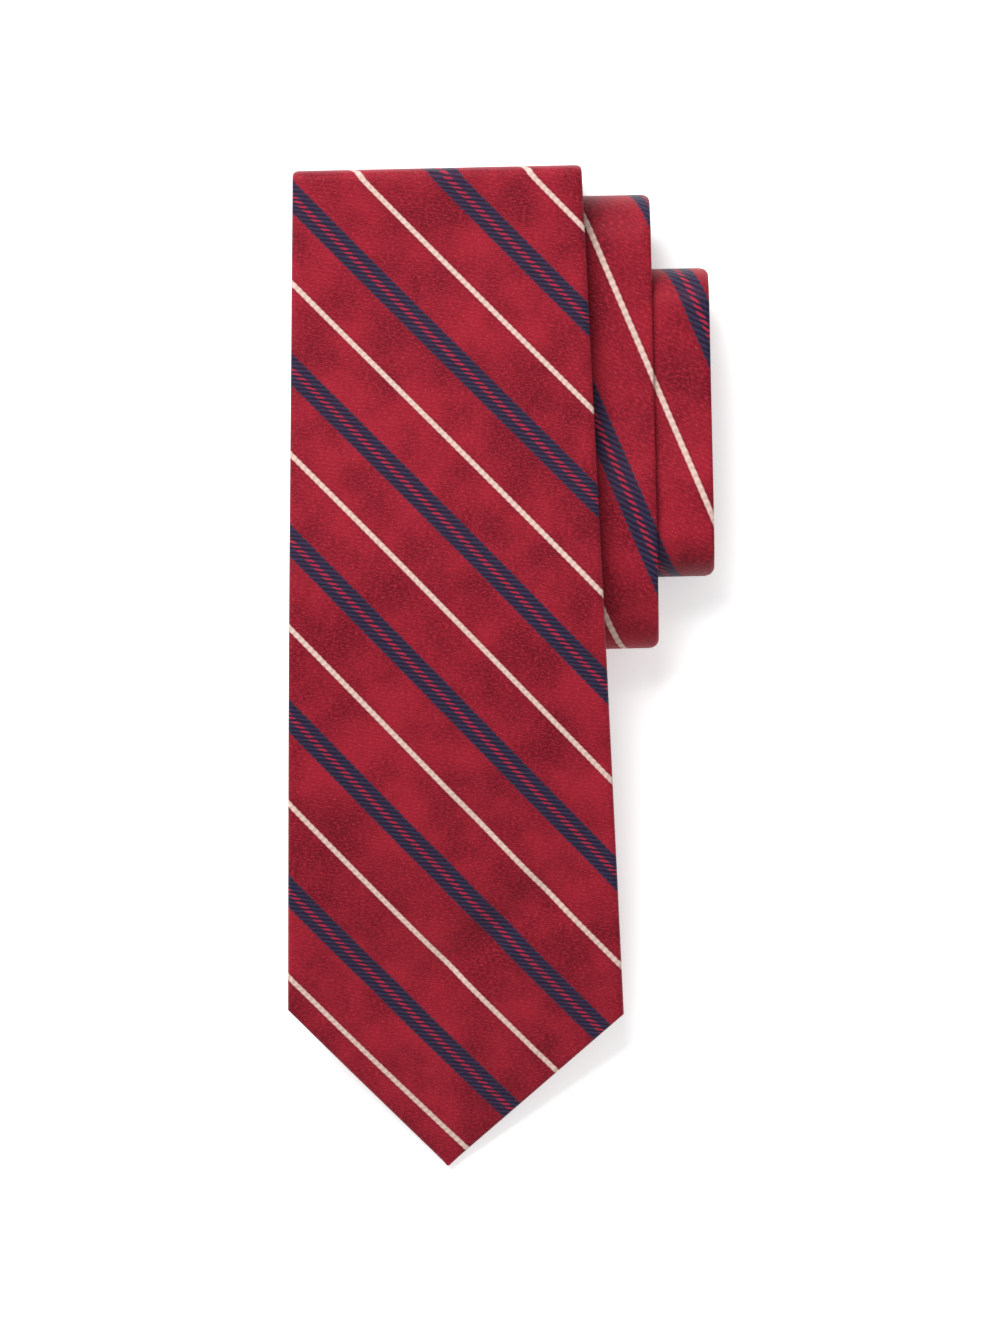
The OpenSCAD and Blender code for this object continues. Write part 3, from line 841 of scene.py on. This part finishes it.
def addThread(name, runs, radius, nodes, body=None, fold=None):
    # every run is a list of (x, distance, up)
    line = bpy.data.curves.new(name, "CURVE")
    line.dimensions = "3D"
    line.bevel_depth = radius * mm
    line.bevel_resolution = 1
    line.use_fill_caps = True
    for run in runs:
        spline = line.splines.new("POLY")
        spline.points.add(len(run) - 1)
        for point, where in zip(spline.points, run):
            point.co = (*place(*where), 1)
    drawn = bpy.data.objects.new(name + "Line", line)
    bpy.context.scene.collection.objects.link(drawn)
    mesh = settle(drawn)
    bpy.data.objects.remove(drawn)
    form = bmesh.new()
    form.from_mesh(mesh)
    bpy.data.meshes.remove(mesh)
    piece = addPiece(name, form, "thread", body, nodes)
    if fold:
        crossFold(piece, fold)
    return piece


sewing = {
    "radius": 0.13, "step": 7.0, "reach": 0.8, "sunk": 0.06, "bite": 0.9,
    "tackL": 9, "tackW": 1.6, "tackRows": 9,
    "fromTip": 6, "pastHem": 0.5, "raised": 0.02,
}


def slipStitch(start, end):
    # a ladder of small stitches from one back edge to the other
    run, s, side = [], start, 1
    while s < end:
        up = -thickness(s) / 2 + sewing["sunk"]
        x = middle(s) + side * sewing["reach"]
        run += [(x, s, up), (x, s + sewing["bite"], up)]
        s, side = s + sewing["step"] / 2, -side
    return [run]


slipRuns = [
    ("bladeSlipStitch", tie["bladeOpen"] + 2, bladeEnd, "blade_slip_stitch", {"body": "blade"}),
    ("topFoldSlipStitch", bladeEnd, foldOut[0], "top_fold_slip_stitch", {"fold": "top"}),
    ("outerSlipStitch", foldOut[0], linkFrom, "outer_slip_stitch", {"body": "root"}),
    ("linkSlipStitch", linkFrom, linkTo, "link_slip_stitch", {"fold": "link"}),
    ("innerSlipStitch", linkTo, tie["length"] - tie["tailOpen"] - 2, "inner_slip_stitch",
     {"body": "inner_turns"}),
]
for name, start, end, node, how in slipRuns:
    addThread(name, slipStitch(start + 0.4, end - 0.6), sewing["radius"], [node], **how)


def barTack(start, across, wide):
    # close rows of thread laid over each other across the meeting of the back edges
    runs, rows = [], sewing["tackRows"]
    for i in range(rows):
        s = start + wide * (i + 0.5) / rows
        up = -thickness(s) / 2 - 0.1 - 0.05 * (i % 2)
        runs.append([(middle(s) + across * (t / 8 - 0.5), s + 0.06 * (-1) ** t, up - 0.12 * sin(pi * t / 8))
                     for t in range(9)])
    return runs


addThread("bladeBarTack", barTack(tie["bladeOpen"], sewing["tackL"], sewing["tackW"]), 0.11,
          ["blade_bar_tack"], body="blade")
addThread("tailBarTack", barTack(tie["length"] - tie["tailOpen"] - sewing["tackW"], sewing["tackL"] * 0.7,
                                 sewing["tackW"]), 0.11, ["tail_bar_tack"], body="inner_turns")


def stitchLine(places, long, lean):
    # short stitches that dive in at both ends: each place is x, distance, up and the way it runs
    runs = []
    for x, s, up, way in places:
        run = []
        for t in range(5):
            share = t / 4 - 0.5
            run.append((x + way[0] * long * share, s + way[1] * long * share, up - lean * cos(pi * share)))
        runs.append(run)
    return runs


def pointStitches(tip, towards, reach, count):
    # along both edges of an open point, through the hem beside its inner edge
    places = []
    for side in (-1, 1):
        for i in range(1, count + 1):
            s = tip + towards * (sewing["fromTip"] + reach * i / count)
            edge, laterEdge = [(leftEdge(q) + rightEdge(q)) / 2 + side * (backGap(q) / 2 + sewing["pastHem"])
                               for q in (s, s + towards)]
            way = Vector((laterEdge - edge, towards)).normalized()
            places.append((edge, s, -thickness(s) / 2 + sewing["raised"], way))
    return places


addThread("bladeTippingStitches",
          stitchLine(pointStitches(0, 1, tie["bladeOpen"] - 14, 22), 1.7, 0.14), 0.12,
          ["blade_tipping_stitch"], body="blade")
addThread("tailTippingStitches",
          stitchLine(pointStitches(tie["length"], -1, tie["tailPoint"] + 3, 8), 1.5, 0.12), 0.12,
          ["tail_tipping_stitch"], body="inner_turns")


def sideStitches(start, wide, half, up, count):
    # a short column of stitches at both ends of something sewn to the back
    places = []
    for side in (-1, 1):
        for i in range(count):
            s = start + wide * (i + 0.5) / count
            places.append((side * half, s, up - thickness(s) / 2, Vector((0.25 * side, 1)).normalized()))
    return places


addThread("keeperTacks",
          stitchLine(sideStitches(keeper["at"] - keeper["wide"] / 2 + 0.8, keeper["wide"] - 1.6,
                                  keeper["long"] / 2 - 1, -0.44, 9), 1.15, 0.12), 0.14,
          ["keeper_tacks"], body="blade")
addThread("labelStitches",
          stitchLine(sideStitches(label["from"] + 0.8, label["wide"] - 1.6, label["across"] / 2 - 1,
                                  -label["thick"], 11), 1.2, 0.1), 0.11, ["label_stitch"], body="blade")


bastingLine = {"narrower": 7, "turns": 16, "swing": 0.5, "up": 0.1}


def basting():
    # a zigzag of long stitches that joins the two lengths of interlining
    b, s0 = bastingLine, liningJoin
    across = width(s0) - b["narrower"]
    return [[(middle(s0) + across * (i / b["turns"] - 0.5), s0 + b["swing"] * (-1) ** i, b["up"])
             for i in range(b["turns"] + 1)]]


addThread("canvasBasting", basting(), 0.15, ["interlining_basting"], body="inner_turns")


slack = {"past": 14, "up": 0.12, "radius": 2.5, "ahead": 5, "lift": 0.04, "steps": 28}


def slackLoop():
    # spare thread at the end of the seam, which lets the seam give
    s0 = tie["length"] - tie["tailOpen"] + slack["past"]
    up = -thickness(s0) / 2 + slack["up"]
    turn = [2 * pi * i / slack["steps"] for i in range(slack["steps"] - 1)]
    return [[(middle(s0) + slack["radius"] * sin(a), s0 + slack["ahead"] - slack["radius"] * cos(a),
              up + slack["lift"] * sin(3 * a)) for a in turn]]


addThread("slackThread", slackLoop(), 0.1, ["slack_thread"], body="inner_turns")


def piecingSeam(name, at, node, body):
    # two panels of silk meet in a fine groove, with the seam's thread just below it
    outline = silkColumns(0.8 if body == "root" else 0.6)
    rows = [at - seamL / 2, at - seamL / 4, at, at + seamL / 4, at + seamL / 2]
    form = gridForm(len(outline), len(rows))
    cloth = form.verts.layers.float_vector.new("cloth")
    for v, column, row in cells(form, len(outline), len(rows)):
        s = rows[row]
        left, right, half = leftEdge(s), rightEdge(s), thickness(s) / 2
        reach = half * silkForm["edgeReach"]
        sink = seamDeep * (1 - abs(row - 2) / 2)
        x, up, flatX, flatS = silkPoint(*outline[column], s, left, right, half, reach, tie["slit"] / 2,
                                        (0, 0))
        v[cloth] = Vector((flatX, flatS, 0))
        v.co = place(x, s, up * (1 - sink / half))
    piece = addPiece(name, form, "thread", body, [node], tie["silkT"])
    return piece


piecingSeam("bladeNeckSeam", bladeNeck, "blade_neck_seam", "root")
piecingSeam("neckTailSeam", neckTail, "neck_tail_seam", "inner_turns")
print("threads made")
